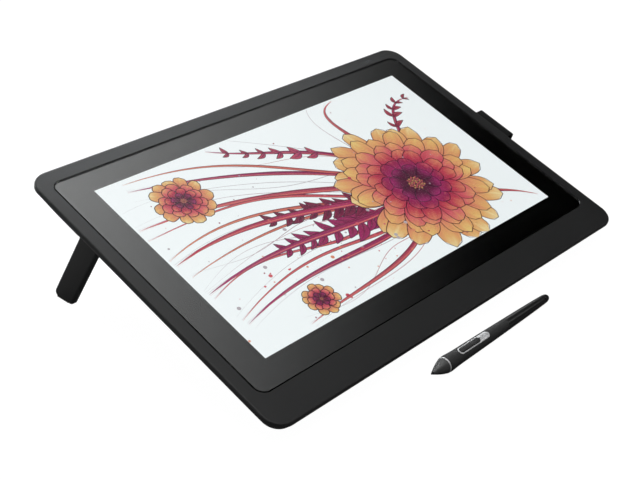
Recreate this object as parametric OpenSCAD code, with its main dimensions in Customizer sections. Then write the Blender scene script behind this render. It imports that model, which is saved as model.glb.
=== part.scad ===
// Graphics tablet with a built-in screen on two fold-out legs, with its pen lying in front of it.
// Row frame: X to the right, Y away from the user, Z up from the desk. The origin is the centre of the front
// foot strip's contact face. Most pieces are drawn in the tablet frame (origin at the centre of the lit picture
// on the glass, x right, y up the screen, z out of the glass) and set on the desk by place().

/* [Screen] */
// Lit picture width
active_w = 344.2; // [338:0.1:347]
// Lit picture height
active_h = 193.6; // [190:0.1:195]
// Cover glass width
glass_w = 393; // [392:0.1:394]
// From the picture's centre to the upper edge of the cover glass
glass_top = 117.3; // [116:0.1:117.5]
// From the picture's centre to the lower edge of the cover glass
glass_bot = 118.7; // [118.4:0.1:119.5]
// Corner radius of the cover glass
glass_r = 8; // [5:0.5:12]
// Thickness of the cover glass
glass_t = 1.8; // [1.5:0.1:1.9]
// Gap around the cover glass
glass_gap = 0.8; // [0.6:0.1:1]

/* [Case] */
// Width of the case
body_w = 417; // [416.4:0.1:417.6]
// From the picture's centre to the upper edge of the case
body_top = 131.1; // [130.9:0.1:131.5]
// From the picture's centre to the front edge of the case
body_bot = 146.8; // [146.4:0.1:147.2]
// Corner radius of the case outline
body_r = 15.5; // [15:0.5:16]
// From the glass face to the back plane
back_z = 23; // [22.8:0.1:23.2]
// Height of the bezel's skirt
skirt_h = 3.5; // [3.4:0.1:3.6]
// Radius of the bezel's outer edge
rim_r = 1.6; // [1.4:0.1:2]
// Wall of the skirt
wall = 2.2; // [1.8:0.1:2.4]
// Inward slope of the flanks per millimetre of depth
flank = 0.67; // [0.66:0.01:0.68]

/* [Stand] */
// Working angle of the screen over the desk
tilt = 19; // [18.5:0.25:19.5]
// Lean of the legs from the screen's normal, up the screen per millimetre of leg
leg_lean = 0.25; // [0.23:0.01:0.26]
// Width of a leg along its hinge
leg_w = 21.2; // [20.5:0.1:22]
// Thickness of a leg
leg_t = 5.5; // [5.2:0.1:5.6]
// Front end of the leg's hinge barrel, up the screen from the picture's centre
leg_y = 58; // [57:0.1:58.5]
// Thickness of the rubber standing proud of the case
foot_h = 1.5; // [1.3:0.1:1.6]
// Length of the front foot strip
strip_w = 320; // [280:1:330]

/* [Pen] */
// Length of the pen
pen_len = 151; // [150.5:0.5:152]
// Nib tip, sideways on the desk
pen_x = -78; // [-85:0.1:-70]
// Nib tip, in front of the foot strip
pen_y = -42.7; // [-60:0.1:-42]
// Turn of the pen on the desk
pen_yaw = 0.9; // [0:0.1:2]
// Roll of the pen, side switch towards the user
pen_roll = 18; // [0:1:40]
// Half height of the pen's tilt line at the nib
pen_h = 6.9; // [6.9:0.01:7.1]
// Droop of the pen from nib to tail
pen_pitch = 1.257; // [1.25:0.001:1.265]

/* [Hidden] */
$fn = 64;

black = [0.11, 0.11, 0.115];
dark = [0.17, 0.17, 0.175];
steel = [0.72, 0.72, 0.74];
board_green = [0.06, 0.22, 0.12];
rubber_c = [0.07, 0.07, 0.07];

// Front facet of the back: it lies parallel to the desk
facet_y = 126;
facet_l = 14;
facet_z = -back_z + facet_l * tan(tilt);
strip_s = 7;
strip_d = 10;
pc_y = -facet_y - strip_s * cos(tilt) - foot_h * sin(tilt);
pc_z = -back_z + strip_s * sin(tilt) - foot_h * cos(tilt);
desk_y = pc_y * cos(tilt) - pc_z * sin(tilt);
desk_c = pc_y * sin(tilt) + pc_z * cos(tilt);

body_h = body_top + body_bot;
body_cy = (body_top - body_bot) / 2;
glass_h = glass_top + glass_bot;
glass_cy = (glass_top - glass_bot) / 2;
ledge_z = -glass_t - 0.3;
bezel_b = -3.2;
ledge_w = 8;
part_z = -skirt_h - 0.2;
back_in = 0.4;
back_r = 4;
floor_z = -back_z + 2.2;

// Leg hinge: axis along the tablet's y
hin_x = body_w / 2 - 16.05;
hin_z = -19.3;
leg_o = 3.5;
leg_k = leg_lean;
lean_u = 4.6;
pin_r = 1.5;
foot_a = hin_z - desk_c / cos(tilt);

// Screw places
case_pts = [[-189.3, -95], [189.3, -95], [-189.3, -36], [189.3, -36], [-189.3, 105], [189.3, 105], [-110, 111.3],
  [0, 111.3], [110, 111.3], [-110, -123.5], [0, -123.5], [110, -123.5]];
chas_pts = [[-191, -60], [191, -60], [-191, 36], [191, 36], [-60, 113.4], [60, 113.4], [-60, -116.4], [60, -116.4]];
board_x = 20;
board_y = -10;
board_pts = [[-52, -32], [92, -32], [-52, 12], [92, 12]];
but_x = 150;
led_x = 168.1;
led_y = 123.3;
butb_pts = [[142, 108], [180, 108]];
inlet_x = 90;

loop_y = 3;
loop_l = 39.4;
loop_top = -7;
loop_bot = -17.6;
loop_x = 228.3;
loop_t = 1.2;
anchor_x = 197.5;

function unit(v) = v / norm(v);
// Points of a round between the lines a-p and p-b
function fil(a, p, b, r, n) = r <= 0 ? [p] :
  let (u = unit(a - p), v = unit(b - p), h = acos(u * v) / 2, c = p + unit(u + v) * r / sin(h),
    s = p + u * r / tan(h) - c, e = p + v * r / tan(h) - c, a0 = atan2(s[1], s[0]), a1 = atan2(e[1], e[0]),
    d = (a1 - a0 + 540) % 360 - 180)
  [for (i = [0:n]) c + r * [cos(a0 + d * i / n), sin(a0 + d * i / n)]];
function rounded(p, r, n = 8) = [for (i = [0:len(p) - 1])
  each fil(p[(i + len(p) - 1) % len(p)], p[i], p[(i + 1) % len(p)], r[i], n)];
// Smooth curve through the rows [x, y] of a table
function seg(t, x, i = 0) = i >= len(t) - 2 || x < t[i + 1][0] ? i : seg(t, x, i + 1);
function slope(t, i) = i == 0 ? (t[1][1] - t[0][1]) / (t[1][0] - t[0][0]) :
  i == len(t) - 1 ? (t[i][1] - t[i - 1][1]) / (t[i][0] - t[i - 1][0]) :
  (t[i + 1][1] - t[i - 1][1]) / (t[i + 1][0] - t[i - 1][0]);
function curve(t, x) = let (i = seg(t, x), w = t[i + 1][0] - t[i][0], u = (x - t[i][0]) / w)
  (2 * u * u * u - 3 * u * u + 1) * t[i][1] + (u * u * u - 2 * u * u + u) * w * slope(t, i) +
  (3 * u * u - 2 * u * u * u) * t[i + 1][1] + (u * u * u - u * u) * w * slope(t, i + 1);

module place() translate([0, -desk_y, -desk_c]) rotate([tilt, 0, 0]) children();
module mirrored() { children(); mirror([1, 0, 0]) children(); }
module rrect(w, h, r) {
  square([w - 2 * r, h], center = true);
  square([w, h - 2 * r], center = true);
  for (sx = [-1, 1], sy = [-1, 1]) translate([sx * (w / 2 - r), sy * (h / 2 - r)]) circle(r);
}
module slab(w, h, r, z0, z1, cy = 0) translate([0, cy, z0]) linear_extrude(z1 - z0) rrect(w, h, r);
module box(x0, x1, y0, y1, z0, z1) translate([x0, y0, z0]) cube([x1 - x0, y1 - y0, z1 - z0]);
module rod(p, r, z0, z1) translate([p[0], p[1], z0]) cylinder(r = r, h = z1 - z0);
// Extrudes a y-z outline along x
module along_x(x0, x1) translate([x0, 0, 0]) rotate([90, 0, 90]) linear_extrude(x1 - x0) children();
// Extrudes an x-z outline along y
module along_y(y0, y1) translate([0, y1, 0]) rotate([90, 0, 0]) linear_extrude(y1 - y0) children();

// ---------- Front ----------
rim_in = 11;
module rim_profile() {
  translate([body_r - rim_r, -rim_r]) intersection() { circle(rim_r); square(rim_r + 1); }
  translate([body_r - rim_in, bezel_b]) square([rim_in - rim_r, -bezel_b]);
  translate([body_r - wall, -skirt_h]) square([wall, skirt_h - rim_r]);
}
module rim_ring() translate([0, body_cy, 0]) {
  for (k = [0:3]) translate([[1, -1, -1, 1][k] * (body_w / 2 - body_r), [1, 1, -1, -1][k] * (body_h / 2 - body_r), 0])
    rotate([0, 0, 90 * k]) rotate_extrude(angle = 90) rim_profile();
  for (k = [0, 2]) rotate([0, 0, 90 * k]) translate([body_w / 2 - body_r, 0, 0]) rotate([90, 0, 0])
    linear_extrude(body_h - 2 * body_r, center = true) rim_profile();
  for (k = [1, 3]) rotate([0, 0, 90 * k]) translate([body_h / 2 - body_r, 0, 0]) rotate([90, 0, 0])
    linear_extrude(body_w - 2 * body_r, center = true) rim_profile();
}
module front_bezel() color(dark) place() difference() {
  union() {
    rim_ring();
    slab(body_w - 2 * rim_in, body_h - 2 * rim_in, body_r - rim_in, bezel_b, 0, body_cy);
    for (p = case_pts) rod(p, 3.2, -13, bezel_b + 0.5);
    for (p = chas_pts) rod(p, 2.6, -9.4, bezel_b + 0.5);
  }
  slab(glass_w + 2 * glass_gap, glass_h + 2 * glass_gap, glass_r + glass_gap, ledge_z, 1, glass_cy);
  slab(glass_w - 2 * ledge_w, glass_h - 2 * ledge_w, 4, -8, 1, glass_cy);
  for (p = case_pts) rod(p, 1.1, -14, -4.6);
  for (p = chas_pts) rod(p, 0.9, -10, -4.6);
  translate([led_x, led_y, -10]) linear_extrude(11) rrect(10.4, 1.8, 0.85);
}
module cover_glass() color([0.05, 0.05, 0.06, 0.5]) place() slab(glass_w, glass_h, glass_r, -glass_t, 0, glass_cy);
module black_border() color([0.02, 0.02, 0.02]) place() difference() {
  slab(glass_w - 1, glass_h - 1, glass_r - 0.5, -glass_t - 0.1, -glass_t, glass_cy);
  translate([0.95, 0.75, 0]) slab(active_w + 0.7, active_h - 0.7, 0.4, -4, 0);
}
module glass_tape() color([0.1, 0.1, 0.1]) place() difference() {
  slab(glass_w - 2.4, glass_h - 2.4, glass_r - 1.2, ledge_z, -glass_t - 0.1, glass_cy);
  slab(glass_w - 2 * ledge_w + 1.2, glass_h - 2 * ledge_w + 1.2, 4, -4, 0, glass_cy);
}

// ---------- Screen stack ----------
module lcd_panel() color([0.94, 0.96, 0.97]) place() slab(active_w + 9, active_h + 11, 0.5, -3.6, -2.3);
module diffuser_films() color([0.95, 0.95, 0.95]) place() slab(active_w + 7, active_h + 8, 0.5, -4.25, -3.65);
module light_guide() color([0.85, 0.92, 0.95, 0.6]) place() slab(active_w + 7, active_h + 8, 0.5, -6.5, -4.3);
module reflector_sheet() color([0.97, 0.97, 0.97]) place() slab(active_w + 7, active_h + 8, 0.5, -6.8, -6.55);
module led_strip() color([0.9, 0.85, 0.5]) place()
  box(-active_w / 2 + 4, active_w / 2 - 4, -active_h / 2 - 8, -active_h / 2 - 4.6, -6.7, -4.4);
module backlight_tray() color(steel) place() difference() {
  slab(active_w + 19, active_h + 19.6, 1.5, -7.85, -2.65);
  slab(active_w + 17, active_h + 17.6, 0.8, -6.85, 0);
}
module digitizer_board() color(board_green) place() slab(active_w + 14, active_h + 14, 1, -8.95, -7.95);
module shield_plate() color(steel) place() slab(active_w + 14, active_h + 14, 1, -9.4, -9);
module chassis() color([0.5, 0.5, 0.52]) place() difference() {
  union() {
    slab(active_w + 20, active_h + 22, 3, -10.9, -9.5);
    for (p = chas_pts) {
      rod(p, 3.4, -10.9, -9.5);
      q = abs(p[0]) > 150 ? [sign(p[0]) * 176, p[1]] : [p[0], sign(p[1]) * 100];
      box(min(p[0], q[0]) - (p[0] == q[0] ? 3.4 : 0), max(p[0], q[0]) + (p[0] == q[0] ? 3.4 : 0),
        min(p[1], q[1]) - (p[1] == q[1] ? 3.4 : 0), max(p[1], q[1]) + (p[1] == q[1] ? 3.4 : 0), -10.9, -9.5);
    }
    for (p = board_pts) rod(p, 2.4, -12.9, -10.5);
  }
  for (p = chas_pts) rod(p, 1.2, -12, -9);
  for (p = board_pts) rod(p, 0.8, -14, -10.2);
}
module screw(p, zh, zt, r, hr, hh) {
  rod(p, r, zh, zt);
  rod(p, hr, zh - hh, zh);
}
module chassis_screws() color(steel) place() for (p = chas_pts) screw(p, -10.9, -6, 0.85, 1.9, 1);
module case_screws() color(steel) place() for (p = case_pts) difference() {
  screw(p, -21, -6, 1.05, 2.4, 1.5);
  rod(p, 0.9, -23, -21.7, $fn = 6);
}

// ---------- Electronics ----------
module main_board() color(board_green) place() difference() {
  translate([board_x, board_y, 0]) slab(154, 54, 2, -14.5, -12.9);
  for (p = board_pts) rod(p, 1, -16, -12);
}
module board_components() color([0.08, 0.08, 0.08]) place() {
  box(-12, 6, -14, 4, -16, -14.5);
  box(14, 26, -20, -8, -15.7, -14.5);
  box(34, 44, -6, 4, -15.7, -14.5);
  box(60, 84, -28, -20, -17.5, -14.5);
  box(60, 84, 4, 10, -17, -14.5);
  for (i = [0:4]) rod([-36 + 7 * i, -26], 2.4, -18, -14.5);
}
module shield_can() color(steel) place() difference() {
  box(-20, 50, -22, 8, -17, -14.5);
  box(-19.6, 49.6, -21.6, 7.6, -16.7, -14);
}
module board_screws() color(steel) place() {
  for (p = board_pts) screw(p, -14.5, -10.6, 0.75, 1.7, 0.9);
  for (p = butb_pts) mirror([0, 0, 1]) screw(p, 14.2, 18, 0.75, 1.7, 0.9);
}
module display_flex() color([0.75, 0.45, 0.12]) place() along_x(-30, 12) {
  e = -active_h / 2 - 5.5;
  polygon([[e, -2.58], [e, -2.32], [-110.26, -2.32], [-110.26, -12.3], [-34, -12.3], [-34, -12.04], [-110, -12.04],
    [-110, -2.58]]);
}
module sensor_flex() color([0.75, 0.45, 0.12]) place() along_x(30, 54) {
  e = active_h / 2 + 7;
  polygon([[e, -8.58], [e, -8.32], [109.06, -8.32], [109.06, -12.3], [12, -12.3], [12, -12.04], [108.8, -12.04],
    [108.8, -8.58]]);
}
module button_board() color(board_green) place() difference() {
  box(138, 184, 104.5, 119.8, -15.4, -14.2);
  for (p = butb_pts) rod(p, 1, -18, -12);
}
module power_switch() color([0.1, 0.1, 0.1]) place() {
  box(but_x - 3.2, but_x + 3.2, 112.9, 117.5, -14.2, -8.4);
  translate([but_x, 118.6, -10.4]) rotate([90, 0, 0]) cylinder(r = 1.1, h = 2);
}
module status_led() color([0.95, 0.95, 0.8]) place() box(led_x - 1.6, led_x + 1.6, 118, 119.8, -14.2, -13.3);
module light_pipe() color([0.85, 0.9, 0.95, 0.7]) place() {
  translate([led_x, led_y, bezel_b - 1]) linear_extrude(-bezel_b + 0.95) rrect(10, 1.4, 0.65);
  box(led_x - 1.1, led_x + 1.1, led_y - 3.8, led_y + 0.4, bezel_b - 1, bezel_b - 0.1);
  rod([led_x, led_y - 3.8], 1.1, -13.2, bezel_b - 0.1);
}
module power_button() color(black) place() {
  // The face follows the flank and stands a little proud of it
  f = body_top - back_in + 0.5;
  along_x(but_x - 7, but_x + 7) polygon([[119.4, -12.4], [f - flank * (12.4 + part_z), -12.4],
    [f - flank * (8.4 + part_z), -8.4], [119.4, -8.4]]);
  box(but_x - 9, but_x + 9, 119.4, 120.6, -13, -7.8);
}
module cable_inlet() color([0.15, 0.15, 0.15]) place() difference() {
  box(inlet_x - 11.4, inlet_x + 11.4, 109.4, 118.7, -16.9, -7.1);
  box(inlet_x - 10, inlet_x + 10, 111.2, 121, -15.5, -8.5);
}

// ---------- Back ----------
module back_outline(z, front, inset, r) {
  hw = body_w / 2 - back_in - flank * (part_z - z) - inset;
  ty = body_top - back_in - flank * (part_z - z) - inset;
  translate([0, (ty - front) / 2, z]) linear_extrude(0.01) rrect(2 * hw, ty + front, r, $fn = 48);
}
// Slice of the rounded edge between the flanks and the back plane, at angle a of the round
module back_edge(a) {
  t = back_r * tan(atan(1 / flank) / 2);
  z = -back_z + back_r * (1 - cos(a));
  d = flank * (part_z + back_z) + t - back_r * sin(a);
  back_outline(z, facet_y + (z + back_z) / tan(tilt), d - flank * (part_z - z), 12 - t * (1 - a / atan(1 / flank)));
}
module case_hull() hull() {
  back_outline(part_z - 0.01, body_bot - back_in, 0, body_r - 0.4);
  back_outline(facet_z, facet_y + facet_l, 0, 13);
  for (k = [0:4]) back_edge(atan(1 / flank) * k / 4);
}
module case_hollow() hull() {
  back_outline(part_z + 0.1, body_bot - back_in - 3, 2.8, body_r - 3);
  back_outline(facet_z + 1.3, facet_y + facet_l - 3, 2.8, 11);
  back_outline(floor_z, facet_y - 0.4, 2.8, 10);
}
function leg_f(u) = leg_y + leg_k * max(u - lean_u, 0);
function leg_r(u) = leg_y + leg_w + leg_k * max(u - lean_u, 0);
// Distance from the hinge axis to the plane h above the desk, along the front or the rear edge of a leg
function foot_u(y0, h) = (foot_a - h / cos(tilt) + (y0 - leg_k * lean_u) * tan(tilt)) / (1 - leg_k * tan(tilt));
// Outline of the folded leg's recess on the left, grown by g
function recess(g) = let (uf = foot_u(leg_y, 0) + 1.6 + g, ur = foot_u(leg_y + leg_w, 0) + 1.6 + g)
  [[-hin_x - 3.9 - g, leg_y - 0.5 - g], [-hin_x + 3, leg_y - 0.5 - g], [-hin_x + 7, leg_f(7) - 1.3 - g],
    [-hin_x + uf, leg_f(uf) - 1.3 - g], [-hin_x + ur, leg_r(ur) + 1.3 + g], [-hin_x + 3, leg_r(3) + 1.3 + g],
    [-hin_x + 2.9, leg_y + leg_w + 0.5 + g], [-hin_x - 3.9 - g, leg_y + leg_w + 0.5 + g]];
module recess_solid(g, z1) translate([0, 0, -30]) linear_extrude(30 + z1) polygon(recess(g));
module hinge_rod(r, y0, y1) translate([-hin_x, y1, hin_z]) rotate([90, 0, 0]) cylinder(r = r, h = y1 - y0);
module rear_cover() color(black) difference() {
  union() {
    place() difference() {
      case_hull();
      case_hollow();
    }
    place() intersection() {
      case_hull();
      union() {
        mirrored() {
          recess_solid(1.8, -15.1);
          hinge_rod(5.4, leg_y - 8, leg_y + leg_w + 8);
          box(-hin_x - 4.6, -hin_x + 4.6, leg_y - 8, leg_y + leg_w + 8, -23, hin_z);
        }
        for (p = case_pts) rod(p, 4, -23, -13.1);
        for (p = butb_pts) rod(p, 2.4, -23, -15.4);
      }
    }
  }
  place() {
    mirrored() {
      recess_solid(0, hin_z + leg_t - leg_o + 0.4);
      box(-hin_x - 14, -hin_x, leg_y - 0.5, leg_y + leg_w + 0.5, -30, hin_z + leg_t - leg_o + 0.4);
      hinge_rod(3.9, leg_y - 0.5, leg_y + leg_w + 0.5);
      hinge_rod(pin_r + 0.02, leg_y - 7.4, leg_y + leg_w + 7.4);
    }
    for (p = case_pts) {
      rod(p, 1.5, -24, -12);
      rod(p, 2.7, -24, -21);
    }
    for (p = butb_pts) rod(p, 0.85, -19, -14);
    for (p = foot_pts) rod(p, 7.1, -24, -back_z + 0.7);
    box(but_x - 7.4, but_x + 7.4, 121, 140, -12.8, -8);
    box(inlet_x - 10.6, inlet_x + 10.6, 118.8, 140, -16.1, -7.9);
    box(anchor_x - 8, 230, loop_y - loop_l / 2 - 1.2, loop_y + loop_l / 2 + 1.2, loop_bot - 0.6, loop_top + 0.5);
  }
  translate([0, 0, 0]) linear_extrude(foot_h + 0.7) rrect(strip_w + 0.4, strip_d + 0.4, 4.2);
}
foot_pts = [[-62, 107], [62, 107], [-150, -108], [150, -108]];
module front_foot_strip() color(rubber_c) linear_extrude(foot_h + 0.65) rrect(strip_w, strip_d, 4);
module back_feet() color(rubber_c) place() for (p = foot_pts) rod(p, 7, -back_z - 1.5, -back_z + 0.65);

// ---------- Legs ----------
// Side outline of a leg with its foot cut h above the desk and its edges set in by g
function leg_outline(g, h, top) = let (uf = foot_u(leg_y + g, h), ur = foot_u(leg_y + leg_w - g, h))
  [[leg_y + leg_w - g, hin_z + top], [leg_y + g, hin_z + top], [leg_y + g, hin_z - lean_u], [leg_f(uf) + g, hin_z - uf],
    [leg_r(ur) - g, hin_z - ur], [leg_y + leg_w - g, hin_z - lean_u]];
module leg() difference() {
  intersection() {
    along_x(-hin_x - 6, -hin_x + 6) polygon(rounded(leg_outline(0, 0.3, 5), [0, 0, 0, 4.5, 4.5, 0]));
    along_y(0, 140) union() {
      translate([-hin_x, hin_z]) circle(leg_o);
      translate([-hin_x - leg_o, hin_z - 110]) square([leg_t, 110]);
    }
  }
  hinge_rod(pin_r + 0.06, leg_y - 5, leg_y + leg_w + 5);
  along_x(-hin_x - leg_o + 0.9, -hin_x - leg_o + leg_t - 0.9)
    polygon(concat([for (i = [4, 3]) leg_outline(4, 2, 5)[i]], [for (i = [3, 4]) leg_outline(4, 0, 5)[i]]));
}
module leg_pad() along_x(-hin_x - leg_o + 1, -hin_x - leg_o + leg_t - 1)
  polygon(concat([for (i = [4, 3]) leg_outline(4.2, 1.95, 5)[i]], [for (i = [3, 4]) leg_outline(4.2, 0, 5)[i]]));
module leg_left() color(black) place() leg();
module leg_right() color(black) place() mirror([1, 0, 0]) leg();
module leg_pad_left() color(rubber_c) place() leg_pad();
module leg_pad_right() color(rubber_c) place() mirror([1, 0, 0]) leg_pad();
module leg_hinge_pins() color(steel) place() mirrored() hinge_rod(pin_r, leg_y - 7.2, leg_y + leg_w + 7.2);
module hinge_washers() color(steel) place() mirrored() for (y = [leg_y - 0.4, leg_y + leg_w + 0.1]) difference() {
  hinge_rod(3.2, y, y + 0.3);
  hinge_rod(pin_r + 0.04, y - 1, y + 1);
}

// ---------- Pen loop ----------
module loop_outline(g) polygon(rounded([[anchor_x, loop_bot + g], [loop_x - g, loop_bot + g], [loop_x - g, loop_top - g],
  [anchor_x, loop_top - g]], [0, 3 - g, 3 - g, 0], 10));
module pen_loop() color([0.13, 0.13, 0.13]) place() along_y(loop_y - loop_l / 2, loop_y + loop_l / 2) difference() {
  loop_outline(0);
  loop_outline(loop_t);
}
// Inner face of the flank at height z
function wall_x(z) = body_w / 2 - back_in - flank * (part_z - z) - 2.8;
module pen_loop_anchor() color(black) place() {
  box(anchor_x - 4, anchor_x, loop_y - loop_l / 2 - 0.9, loop_y + loop_l / 2 + 0.9, loop_bot - 0.3, loop_top + 0.2);
  // Wings that bear on the inside of the flank beyond the slot's ends
  for (s = [-1, 1]) translate([0, loop_y + s * (loop_l / 2 + 2.6), 0]) along_y(-2.1, 2.1)
    polygon([[wall_x(-16.5) - 0.2, -16.5], [wall_x(-9) - 0.2, -9], [wall_x(-9) - 3.2, -9], [anchor_x - 4, -14.5],
      [anchor_x - 4, -16.5]]);
}

// ---------- Pen ----------
pen_t = [[0, 0.75], [1.6, 1.2], [4, 2.25], [7, 3.53], [10, 4.67], [13, 5.6], [14.7, 6.02], [15.8, 6.24], [19, 6.48],
  [23, 6.24], [30, 5.94], [40, 5.78], [52, 5.59], [64, 5.4], [76, 5.19], [94, 4.83], [108, 4.53], [120, 4.26], [132, 3.93],
  [142, 3.6], [157, 3.1]];
cone_e = 14.7;
ring_e = 15.8;
grip_e = 91.5;
tail_s = pen_len - 7.5;
tail_gap = 0.6;
sw_a = 29.6;
sw_b = 66.8;
rk_a = 30.9;
rk_b = 55.2;
rk_z = 2.6;
rk_c = (rk_a + rk_b) / 2;
module pen_place() translate([pen_x, pen_y, pen_h]) rotate([0, pen_pitch, pen_yaw]) rotate([pen_roll, 0, 0]) children();
module turn() rotate([0, 90, 0]) rotate_extrude() children();
// Half section of the pen between two stations, set in by g, open to the axis
function pen_pts(a, b, g, n) = concat([[0, a]], [for (i = [0:n]) let (s = a + (b - a) * i / n) [curve(pen_t, s) - g, s]],
  [[0, b]]);
module half(a, b, g, n = 12) polygon(pen_pts(a, b, g, n));
module bar(r, a, b) translate([0, a]) square([r, b - a]);
// Round-ended prism along the pen, standing up from height z0
module pill(a, b, w, z0) translate([0, 0, z0]) linear_extrude(12) {
  translate([a + w / 2, -w / 2]) square([b - a - w, w]);
  for (s = [a + w / 2, b - w / 2]) translate([s, 0]) circle(w / 2);
}
module pen_nib() color([0.08, 0.08, 0.08]) pen_place() turn() {
  polygon([[0, 0], [0.35, 0.08], [0.62, 0.3], [0.75, 0.65], [0.85, 2], [0.85, 22], [0, 22]]);
}
module pen_cone() color([0.06, 0.06, 0.06]) pen_place() turn() difference() {
  half(1.6, cone_e, 0, 14);
  bar(0.95, 0, 30);
  translate([0, 9]) square([2.7, 20]);
}
module pen_ring() color([0.8, 0.8, 0.82]) pen_place() turn() difference() {
  half(cone_e, ring_e, -0.1, 2);
  bar(4.9, 0, 60);
}
module pen_core() color([0.1, 0.1, 0.1]) pen_place() difference() {
  turn() difference() {
    union() {
      half(ring_e, grip_e - 2, 1.3, 32);
      half(grip_e - 2, grip_e + 8, 1.6, 4);
      bar(4.8, cone_e, ring_e + 0.5);
    }
    bar(3.1, 0, grip_e - 5);
    bar(2.5, 0, 160);
  }
  pill(sw_a + 0.4, sw_b - 0.4, 5.2, 0.9);
  translate([rk_c, 4.2, rk_z]) rotate([90, 0, 0]) cylinder(r = 0.61, h = 8.4);
}
module pen_grip() color([0.1, 0.1, 0.1]) pen_place() difference() {
  turn() difference() {
    half(ring_e, grip_e, 0, 32);
    half(ring_e, grip_e - 1.98, 1.22, 32);
    bar(4.9, ring_e - 1, ring_e + 0.5);
    bar(3.4, grip_e - 10, 120);
  }
  pill(sw_a - 0.05, sw_b + 0.05, 6.1, 0.5);
}
module pen_switch_bezel() color([0.8, 0.8, 0.82]) pen_place() difference() {
  intersection() {
    pill(sw_a, sw_b, 6, 0.5);
    turn() difference() {
      half(22, 76, -0.22, 20);
      half(21, 77, 1.1, 20);
    }
  }
  pill(rk_a - 0.05, rk_b + 0.35, 4.5, 0);
}
module pen_side_switch() color([0.1, 0.1, 0.1]) pen_place() difference() {
  intersection() {
    pill(rk_a + 0.3, rk_b, 3.9, 1.7);
    turn() half(25, 70, -0.5, 20);
  }
  translate([rk_c, 5, rk_z]) rotate([90, 0, 0]) cylinder(r = 0.66, h = 10);
  for (s = [-9, -7, -5, 5, 7, 9]) translate([rk_c + s - 0.35, -3, 5.92]) cube([0.7, 6, 2]);
  translate([rk_c - 1.6, -3, 5.86]) cube([3.2, 6, 2]);
}
module pen_rocker_pin() color(steel) pen_place() translate([rk_c, 2.95, rk_z]) rotate([90, 0, 0]) cylinder(r = 0.6, h = 5.9);
module pen_barrel() color([0.07, 0.07, 0.07]) pen_place() turn() difference() {
  half(grip_e, tail_s, 0, 20);
  bar(3.4, grip_e - 5, grip_e + 8.4);
  bar(2.2, grip_e - 5, 124);
  bar(1.55, grip_e - 5, 160);
}
module pen_eraser() color([0.06, 0.06, 0.06]) pen_place() turn() {
  r = curve(pen_t, tail_s + tail_gap) - 0.05;
  l = pen_len - tail_s - tail_gap;
  polygon(concat([[0, tail_s + tail_gap]], [for (i = [0:14]) [r * pow(cos(6.3 * i), 0.62), tail_s + tail_gap + l * sin(6.3 * i)]],
    [[0, pen_len]]));
  bar(1.45, 128, tail_s + tail_gap + 0.5);
}
module pen_coil() color([0.7, 0.4, 0.15]) pen_place() turn() difference() {
  bar(2.6, 9.3, 18.6);
  bar(1.3, 0, 30);
}
module pen_pressure_sensor() color([0.3, 0.3, 0.32]) pen_place() turn() bar(2.6, 22.7, 29);
module pen_board() color(board_green) pen_place() translate([30, -2.4, -1.4]) cube([55, 4.8, 0.8]);

front_bezel();
cover_glass();
black_border();
glass_tape();
lcd_panel();
diffuser_films();
light_guide();
reflector_sheet();
led_strip();
backlight_tray();
digitizer_board();
shield_plate();
chassis();
chassis_screws();
main_board();
board_components();
shield_can();
board_screws();
display_flex();
sensor_flex();
button_board();
power_switch();
status_led();
light_pipe();
power_button();
cable_inlet();
rear_cover();
case_screws();
front_foot_strip();
back_feet();
leg_left();
leg_right();
leg_pad_left();
leg_pad_right();
leg_hinge_pins();
hinge_washers();
pen_loop();
pen_loop_anchor();
pen_nib();
pen_cone();
pen_ring();
pen_grip();
pen_core();
pen_switch_bezel();
pen_side_switch();
pen_rocker_pin();
pen_barrel();
pen_eraser();
pen_coil();
pen_pressure_sensor();
pen_board();
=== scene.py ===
import math
import random

import bmesh
import bpy
from mathutils import Matrix, Vector


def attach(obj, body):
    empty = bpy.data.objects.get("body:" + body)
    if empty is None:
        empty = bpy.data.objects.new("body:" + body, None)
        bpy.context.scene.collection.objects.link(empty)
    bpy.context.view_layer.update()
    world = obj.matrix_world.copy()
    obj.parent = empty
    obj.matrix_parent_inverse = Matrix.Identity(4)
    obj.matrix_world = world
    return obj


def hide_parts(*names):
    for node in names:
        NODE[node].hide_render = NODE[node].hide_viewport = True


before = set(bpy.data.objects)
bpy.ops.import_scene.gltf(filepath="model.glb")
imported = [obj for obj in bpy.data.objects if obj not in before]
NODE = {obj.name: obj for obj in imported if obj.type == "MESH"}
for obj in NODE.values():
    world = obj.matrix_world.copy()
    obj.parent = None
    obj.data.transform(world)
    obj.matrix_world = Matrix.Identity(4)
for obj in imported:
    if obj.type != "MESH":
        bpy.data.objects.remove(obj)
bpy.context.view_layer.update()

scene = bpy.context.scene

# ---------------------------------------------------------------- frames
# Tablet frame (mm): origin at the centre of the lit picture on the glass, x right, y up the screen, z out of the glass.
# Pen frame (mm): x from the nib to the tail, z through the side switch.
TILT = math.radians(19)
C, S = math.cos(TILT), math.sin(TILT)
PC_Y = -126 - 7 * C - 1.5 * S
PC_Z = -23 + 7 * S - 1.5 * C
DESK_Y = PC_Y * C - PC_Z * S
DESK_C = PC_Y * S + PC_Z * C
MM = Matrix.Scale(0.001, 4)
PLACE = MM @ Matrix.Translation((0, -DESK_Y, -DESK_C)) @ Matrix.Rotation(TILT, 4, "X")
PEN = (MM @ Matrix.Translation((-78, -42.7, 6.9)) @ Matrix.Rotation(math.radians(0.9), 4, "Z")
       @ Matrix.Rotation(math.radians(1.257), 4, "Y") @ Matrix.Rotation(math.radians(18), 4, "X"))


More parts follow.
